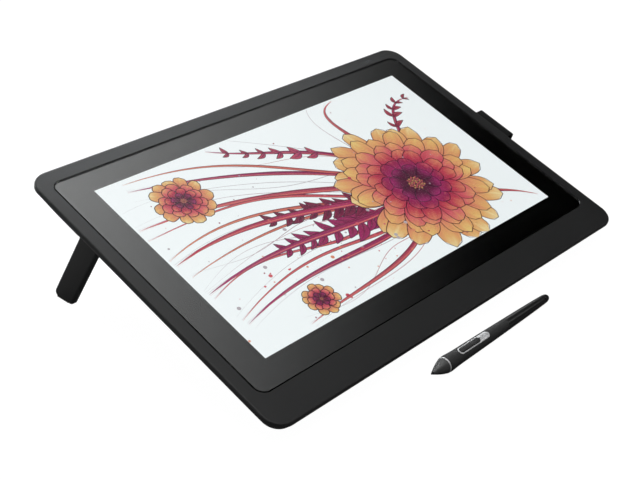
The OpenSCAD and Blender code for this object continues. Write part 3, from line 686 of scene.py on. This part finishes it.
def ribbon(pts, width, col0, col1, taper=(0, 0), z=None):
    """Flat stroke along points; widths may taper at both ends."""
    z = z_now() if z is None else z
    n = len(pts)
    prev = None
    for i, p in enumerate(pts):
        a, b = pts[max(i - 1, 0)], pts[min(i + 1, n - 1)]
        dx, dy = b[0] - a[0], b[1] - a[1]
        l = math.hypot(dx, dy) or 1
        t = i / (n - 1)
        w = width / 2
        if taper[0]:
            w *= min(1, t / taper[0]) ** 0.7
        if taper[1]:
            w *= min(1, (1 - t) / taper[1]) ** 0.7
        w = max(w, 0.05)
        col = [c0 + (c1 - c0) * t for c0, c1 in zip(col0, col1)]
        cur = (vert(p[0] - dy / l * w, p[1] + dx / l * w, z, col), vert(p[0] + dy / l * w, p[1] - dx / l * w, z, col))
        if prev:
            face((prev[0], prev[1], cur[1], cur[0]))
        prev = cur


def disc(x, y, r, col, n=12, step=0.1):
    z = z_now(step)
    if abs(x) < AW - r and abs(y) < AH - r:
        bm.faces.new([vert(x + r * math.cos(2 * math.pi * i / n), y + r * math.sin(2 * math.pi * i / n), z, col) for i in range(n)])


def patch(at, colour, nu, nv):
    """Grid over u 0..1 and v -1..1 on a layer of its own."""
    z = z_now()
    grid = [[vert(*at(i / nu, -1 + 2 * j / nv), z, colour(i / nu, -1 + 2 * j / nv)) for j in range(nv + 1)] for i in range(nu + 1)]
    for a, b in zip(grid, grid[1:]):
        for j in range(nv):
            face((a[j], a[j + 1], b[j + 1], b[j]))


def petal(cx, cy, ang, r0, length, width, stops, nu=12, nv=8):
    """One ruffled petal with its outline and veins."""
    ca, sa = math.cos(ang), math.sin(ang)
    ph = random.uniform(0, 6.28)
    bend = random.uniform(-0.12, 0.12)
    tone = random.uniform(-0.05, 0.07)

    def at(u, v):
        w = width * 1.22 * u ** 0.55 * max(0.0, 1 - u ** 6) ** 0.5 * (1 + 0.05 * math.sin(11 * u + ph))
        ru = u + (0.05 * u ** 3 * math.sin(6.4 * v + ph) - 0.06 * u ** 5 * (1 - abs(v))) * (1 - u ** 7)
        a, b = r0 + length * ru, v * w + bend * length * u * u
        return cx + ca * a - sa * b, cy + sa * a + ca * b

    patch(at, lambda u, v: blend3(stops, u * 0.95 - 0.10 * abs(v) + tone + 0.05 * math.sin(9 * v + ph)), nu, nv)
    z = z_now()
    for v in (-0.74, -0.5, -0.26, 0.0, 0.26, 0.5, 0.74):
        reach = random.uniform(0.55, 0.8)
        ribbon([at(0.06 + reach * i / 8, v * (0.92 + 0.08 * i / 8)) for i in range(9)], 0.42, PLUM, CRIMSON, (0.05, 0.8), z)
    ribbon([at(i / 18, -1) for i in range(19)] + [at(1 - i / 18, 1) for i in range(19)], 0.66, INK, INK, (0.05, 0.05), z)


TIP = [[(0, CRIMSON), (0.36, RED), (0.6, SALMON), (0.82, AMBER), (1, PALE)],
       [(0, CRIMSON), (0.36, RED), (0.62, SALMON), (0.86, AMBER), (1, YELLOW)],
       [(0, CRIMSON), (0.4, RED), (0.7, ROSE), (0.86, SALMON), (1, AMBER)],
       [(0, PLUM), (0.35, CRIMSON), (0.7, RED), (1, SALMON)],
       [(0, PLUM), (0.4, MAGENTA), (0.8, CRIMSON), (1, ROSE)],
       [(0, INK), (0.5, PLUM), (1, MAGENTA)]]


def blossom(cx, cy, size, turn, rings):
    for q, (n, l, w) in enumerate(rings):
        stops = TIP[round(q * (len(TIP) - 1) / (len(rings) - 1))]
        for i in range(n):
            ang = turn + q * 0.37 + 2 * math.pi * i / n + random.uniform(-0.06, 0.06)
            petal(cx, cy, ang, size * 0.04, size * l * random.uniform(0.92, 1.05), size * w * random.uniform(0.92, 1.08), stops)
    disc(cx, cy, size * 0.11, INK, 40, 1)
    layer[0] += 1
    for i in range(40):
        a, r = i * 2.39996, size * 0.105 * math.sqrt((i + 0.5) / 40)
        disc(cx + r * math.cos(a), cy + r * math.sin(a), size * 0.011, ROSE if i % 3 else AMBER)


def curve(p0, p1, p2, p3, n=60):
    out = []
    for i in range(n + 1):
        t = i / n
        m = 1 - t
        out.append(tuple(m ** 3 * a + 3 * m * m * t * b + 3 * m * t * t * c + t ** 3 * d for a, b, c, d in zip(p0, p1, p2, p3)))
    return out


def beside(pts, off, swing=0.0, waves=2.0):
    """A line running along another one."""
    out = []
    for i, p in enumerate(pts):
        a, b = pts[max(i - 1, 0)], pts[min(i + 1, len(pts) - 1)]
        l = math.hypot(b[0] - a[0], b[1] - a[1]) or 1
        d = off + swing * math.sin(waves * math.pi * i / len(pts))
        out.append((p[0] - (b[1] - a[1]) / l * d, p[1] + (b[0] - a[0]) / l * d))
    return out


def streamer(pts, width, c0, c1):
    """A long ribbon with a dark edge, a light and a dark fold."""
    ribbon(pts, width + 0.8, INK, PLUM, (0.02, 0.5))
    ribbon(pts, width, c0, c1, (0.02, 0.55))
    z = z_now()
    ribbon(beside(pts, width * 0.2, width * 0.12), width * 0.2, ROSE, SALMON, (0.1, 0.7), z)
    ribbon(beside(pts, -width * 0.26, width * 0.1, 3), width * 0.16, PLUM, CRIMSON, (0.1, 0.7), z)


def leaflet(x, y, ang, length, width, c0, c1):
    ca, sa = math.cos(ang), math.sin(ang)

    def at(u, v):
        w = width * math.sin(math.pi * u ** 0.8) ** 0.9 * 0.5
        b = v * w + 0.12 * length * math.sin(math.pi * u)
        return x + ca * length * u - sa * b, y + sa * length * u + ca * b

    patch(at, lambda u, v: blend3([(0, c0), (1, c1)], u * 0.7 + 0.3 * abs(v)), 10, 4)
    z = z_now()
    ribbon([at(i / 12, 0) for i in range(12)], 0.5, INK, INK, (0.05, 0.6), z)
    for q in (0.25, 0.42, 0.6):
        for sgn in (-1, 1):
            ribbon([at(q + 0.12 * t / 4, sgn * 0.8 * t / 4) for t in range(5)], 0.36, PLUM, c1, (0.02, 0.7), z)
    ribbon([at(i / 14, -1) for i in range(15)] + [at(1 - i / 14, 1) for i in range(15)], 0.6, INK, INK, (0.05, 0.05), z)


def frond(pts, a, b, n, size, c0, c1):
    """Leaflets on both sides of a line between two of its fractions."""
    for i in range(n):
        t = a + (b - a) * i / (n - 1)
        k = int(t * (len(pts) - 2))
        ang = math.atan2(pts[k + 1][1] - pts[k][1], pts[k + 1][0] - pts[k][0])
        for sgn in (-1, 1):
            l = size * (1 - 0.55 * i / n) * random.uniform(0.8, 1.15)
            leaflet(*pts[k], ang + sgn * random.uniform(0.55, 0.95), l, l * random.uniform(0.34, 0.46), c0, c1)


HEART = (74, -22)
LINES = [curve(HEART, *rest) for rest in (
    ((10, 34), (-60, 66), (-150, 84)), ((16, 0), (-60, 44), (-169, 46)), ((8, -26), (-70, 26), (-168, 4)), ((6, -50), (-60, -8), (-166, -30)),
    ((20, -84), (-50, -34), (-160, -66)), ((30, -96), (-40, -78), (-120, -90)), ((50, 60), (-20, 60), (-64, 94)), ((84, 40), (40, 86), (88, 95)),
    ((120, 20), (120, 76), (164, 66)), ((130, -70), (140, -60), (168, -88)))]
# fine lines first, then the ribbons and the fronds on them
for i in range(16):
    base = LINES[i % 8]
    ribbon(beside(base, random.uniform(-16, 16), random.uniform(-9, 9), random.uniform(1.5, 3.5)), 0.6, random.choice([ROSE, MIST, CRIMSON]), MIST, (0.3, 0.5))
for i, w in ((0, 4.0), (1, 5.4), (4, 5.0), (5, 3.8), (6, 4.0), (7, 3.4), (8, 3.0), (9, 3.4)):
    streamer(LINES[i], w, CRIMSON, ROSE if i % 2 else MAGENTA)
for i in range(6):
    streamer(beside(LINES[(1, 2, 3, 2, 4, 0)[i]], (7, -6, 6, 9, -7, -8)[i], (5, 4, -5, -6, 4, 6)[i], (2.4, 2, 3, 1.6, 2.2, 2)[i]),
             (2.8, 3.4, 2.6, 2.4, 2.8, 2.6)[i], RED, SALMON if i % 2 else ROSE)
frond(LINES[3], 0.30, 0.72, 9, 25, CRIMSON, MAGENTA)
frond(LINES[2], 0.30, 0.66, 8, 22, PLUM, CRIMSON)
streamer(LINES[2], 6.6, MAGENTA, RED)
streamer(LINES[3], 6.2, CRIMSON, MAGENTA)
frond(LINES[6], 0.45, 0.9, 6, 15, MAGENTA, ROSE)
frond(LINES[8], 0.5, 0.95, 5, 13, CRIMSON, ROSE)
blossom(-118, 56, 25, 0.4, [(12, 1.0, 0.24), (10, 0.76, 0.21), (8, 0.54, 0.17), (6, 0.34, 0.12)])
blossom(-96, -76, 15, 0.9, [(10, 1.0, 0.27), (8, 0.7, 0.22), (6, 0.42, 0.16)])
blossom(*HEART, 74, 0.1, [(21, 1.0, 0.142), (19, 0.86, 0.138), (17, 0.71, 0.13), (14, 0.56, 0.122), (11, 0.41, 0.115), (8, 0.27, 0.10)])
for _ in range(90):
    x, y = random.gauss(-40, 60), random.gauss(-52, 26)
    disc(x, y, random.choice([0.35, 0.5, 0.7, 1.0, 1.7]), random.choice([ROSE, SALMON, RED, MIST]), 10)
for _ in range(50):
    disc(random.uniform(-165, 165), random.uniform(-92, 92), random.uniform(0.3, 0.8), random.choice([SALMON, MIST, CRIMSON]), 9)
art = piece("screen_picture", bm, PAINT, "tablet", sharp=180)

# ---------------------------------------------------------------- materials of the CAD nodes
FINISH = {
    CASE: ["rear_cover", "pen_loop_anchor", "cable_inlet"],
    KEY: ["power_button"],
    TAPE: ["glass_tape"],
    LIT: ["lcd_panel"],
    FILM: ["diffuser_films", "reflector_sheet"],
    ACRYLIC: ["light_guide"],
    SMOKE: ["light_pipe"],
    PHOSPHOR: ["led_strip", "status_led"],
    SHEET: ["backlight_tray", "shield_plate", "chassis", "shield_can"],
    STEEL: ["chassis_screws", "board_screws", "case_screws", "leg_hinge_pins", "hinge_washers", "pen_rocker_pin"],
    BOARD: ["digitizer_board", "main_board", "button_board", "pen_board"],
    CHIP: ["board_components", "power_switch", "pen_pressure_sensor", "pen_core"],
    COPPER: ["display_flex", "sensor_flex", "pen_coil"],
    RUBBER: ["front_foot_strip", "back_feet", "leg_pad_left", "leg_pad_right"],
    NIB: ["pen_nib"],
}
for mat, names in FINISH.items():
    for n in names:
        me = NODE[n].data
        me.materials.clear()
        me.materials.append(mat)

# ---------------------------------------------------------------- floor, light, camera
bm = bmesh.new()
bmesh.ops.create_grid(bm, x_segments=8, y_segments=8, size=9)
me = bpy.data.meshes.new("floor")
bm.to_mesh(me)
bm.free()
floor = bpy.data.objects.new("floor", me)
scene.collection.objects.link(floor)
floor.location = (0, 0, -0.0003)
k = Mat("floor_paper")
n = k.noise(3.0, 3.0)
k.set(Base_Color=k.ramp(n, [(0.3, (0.060, 0.060, 0.060)), (0.7, (0.066, 0.066, 0.066))]), Roughness=0.9, Specular_IOR_Level=0.0,
      Emission_Color=(1, 1, 1, 1), Emission_Strength=0.985)
me.materials.append(k.m)
floor.visible_diffuse = floor.visible_glossy = floor.visible_transmission = False

# soft fill from below
bm = bmesh.new()
bmesh.ops.create_grid(bm, x_segments=4, y_segments=4, size=4)
me = bpy.data.meshes.new("bounce")
bm.to_mesh(me)
bm.free()
bounce = bpy.data.objects.new("bounce", me)
scene.collection.objects.link(bounce)
bounce.location = (0, 0, -0.0006)
bounce.visible_camera = False
k = Mat("bounce_card")
n = k.noise(2.0, 2.0)
# shaded where the tablet and the pen stand over it
pos = k.node("ShaderNodeSeparateXYZ", {0: k.co})
off_x = k.math("MAXIMUM", k.math("SUBTRACT", k.math("ABSOLUTE", pos.outputs[0]), 0.19), 0.0)
off_y = k.math("MAXIMUM", k.math("SUBTRACT", k.math("ABSOLUTE", k.math("SUBTRACT", pos.outputs[1], 0.12)), 0.12), 0.0)
away = k.math("SQRT", k.math("ADD", k.math("MULTIPLY", off_x, off_x), k.math("MULTIPLY", off_y, off_y)))
pen_x = k.math("MAXIMUM", k.math("SUBTRACT", k.math("ABSOLUTE", pos.outputs[0]), 0.07), 0.0)
pen_y = k.math("ADD", pos.outputs[1], 0.0427)
near = k.math("SQRT", k.math("ADD", k.math("MULTIPLY", pen_x, pen_x), k.math("MULTIPLY", pen_y, pen_y)))
k.set(Base_Color=(0.05, 0.05, 0.05, 1), Roughness=0.9, Specular_IOR_Level=0.0, Emission_Color=k.ramp(n, [(0.3, (0.97, 0.97, 0.97)), (0.7, (1, 1, 1))]),
      Emission_Strength=k.math("MULTIPLY", k.span(away, 0.0, 0.09, 0.07, 0.26), k.span(near, 0.0, 0.06, 0.1, 1.0)))
me.materials.append(k.m)


def softbox(name, loc, aim, w, h, radiance):
    d = bpy.data.lights.new(name, "AREA")
    d.shape = "RECTANGLE"
    d.size, d.size_y = w, h
    d.energy = radiance * math.pi * w * h
    o = bpy.data.objects.new(name, d)
    scene.collection.objects.link(o)
    o.location = loc
    o.rotation_euler = (Vector(aim) - Vector(loc)).to_track_quat("-Z", "Y").to_euler()
    o.visible_camera = False
    return o


# overhead light: a diffuser to the right of the tablet, brightest at its back left
bm = bmesh.new()
bmesh.ops.create_grid(bm, x_segments=24, y_segments=20, size=1.0)
bmesh.ops.scale(bm, vec=(1.2, 0.95, 1), verts=bm.verts[:])
me = bpy.data.meshes.new("overhead")
bm.to_mesh(me)
bm.free()
over = bpy.data.objects.new("overhead", me)
scene.collection.objects.link(over)
over.location = (1.3, 0.55, 1.6)
over.visible_camera = False
k = Mat("overhead_light")
pos = k.node("ShaderNodeSeparateXYZ", {0: k.co})
fall = k.math("MULTIPLY_ADD", pos.outputs[0], -0.263, k.math("MULTIPLY_ADD", pos.outputs[1], 0.254, 0.227))
level = k.math("MINIMUM", k.math("MULTIPLY", k.math("POWER", k.math("MAXIMUM", fall, 0.0), 2.0), 5.3), 3.0)
k.set(Base_Color=(0, 0, 0, 1), Specular_IOR_Level=0.0, Emission_Color=(1, 1, 1, 1), Emission_Strength=level)
me.materials.append(k.m)
softbox("left", (-2.2, 0.5, 1.0), (-0.1, 0.1, 0.03), 1.2, 1.2, 1.2)
for name, x, w, level in (("back_strip", -0.025, 0.35, 34), ("corner_strip", -0.145, 0.11, 62)):
    strip = softbox(name, (x, 0.269, 0.195), (x, 0.215, 0.1), w, 0.03, level)
    strip.data.color = (0.96, 1.0, 1.02)
    strip.visible_glossy = strip.visible_transmission = False
softbox("top", (-0.15, -0.1, 2.0), (-0.05, 0.05, 0), 1.1, 1.1, 4.3)
softbox("front", (-0.3, -1.4, 2.0), (0, 0, 0.01), 0.9, 0.9, 1.6)
softbox("right_back", (1.7, 1.5, 0.75), (0, 0, 0.05), 0.9, 0.6, 2.5)
softbox("right_front", (1.4, -0.95, 1.43), (0, 0, 0.01), 0.5, 0.9, 3.2)
softbox("rear", (0.3, 2.2, 0.35), (0, 0.1, 0.05), 2.4, 0.5, 12)

world = bpy.data.worlds.new("studio")
scene.world = world
world.use_nodes = True
wt = world.node_tree
bg = wt.nodes["Background"]
tc = wt.nodes.new("ShaderNodeTexCoord")
sep = wt.nodes.new("ShaderNodeSeparateXYZ")
wr = wt.nodes.new("ShaderNodeValToRGB")
wt.links.new(tc.outputs["Generated"], sep.inputs[0])
wt.links.new(sep.outputs["Z"], wr.inputs["Fac"])
wt.links.new(wr.outputs["Color"], bg.inputs["Color"])
el = wr.color_ramp.elements
el[0].position, el[0].color = 0.0, (0.03, 0.03, 0.03, 1)
el[1].position, el[1].color = 0.34, (0.01, 0.01, 0.01, 1)
bg.inputs["Strength"].default_value = 1.0

cam = bpy.data.cameras.new("camera")
cam.sensor_fit = "HORIZONTAL"
cam.sensor_width = 36.0
cam.lens = 36.0 * 1141.558 / 640
cam.clip_start, cam.clip_end = 0.01, 60
cam_ob = bpy.data.objects.new("camera", cam)
scene.collection.objects.link(cam_ob)
turn = Matrix.Rotation(TILT, 4, "X")
right, up, back = (turn.to_3x3() @ Vector(v) for v in ((0.68580772, -0.68319769, 0.25081604), (0.34230484, 0.60693301, 0.71725847),
                                                       (-0.64225786, -0.40604586, 0.65010123)))
at = PLACE @ Vector((-616.575, -387.163, 569.915))
cam_ob.matrix_world = Matrix(((right.x, up.x, back.x, at.x), (right.y, up.y, back.y, at.y), (right.z, up.z, back.z, at.z), (0, 0, 0, 1)))
scene.camera = cam_ob

scene.view_settings.view_transform = "Standard"
scene.view_settings.look = "None"
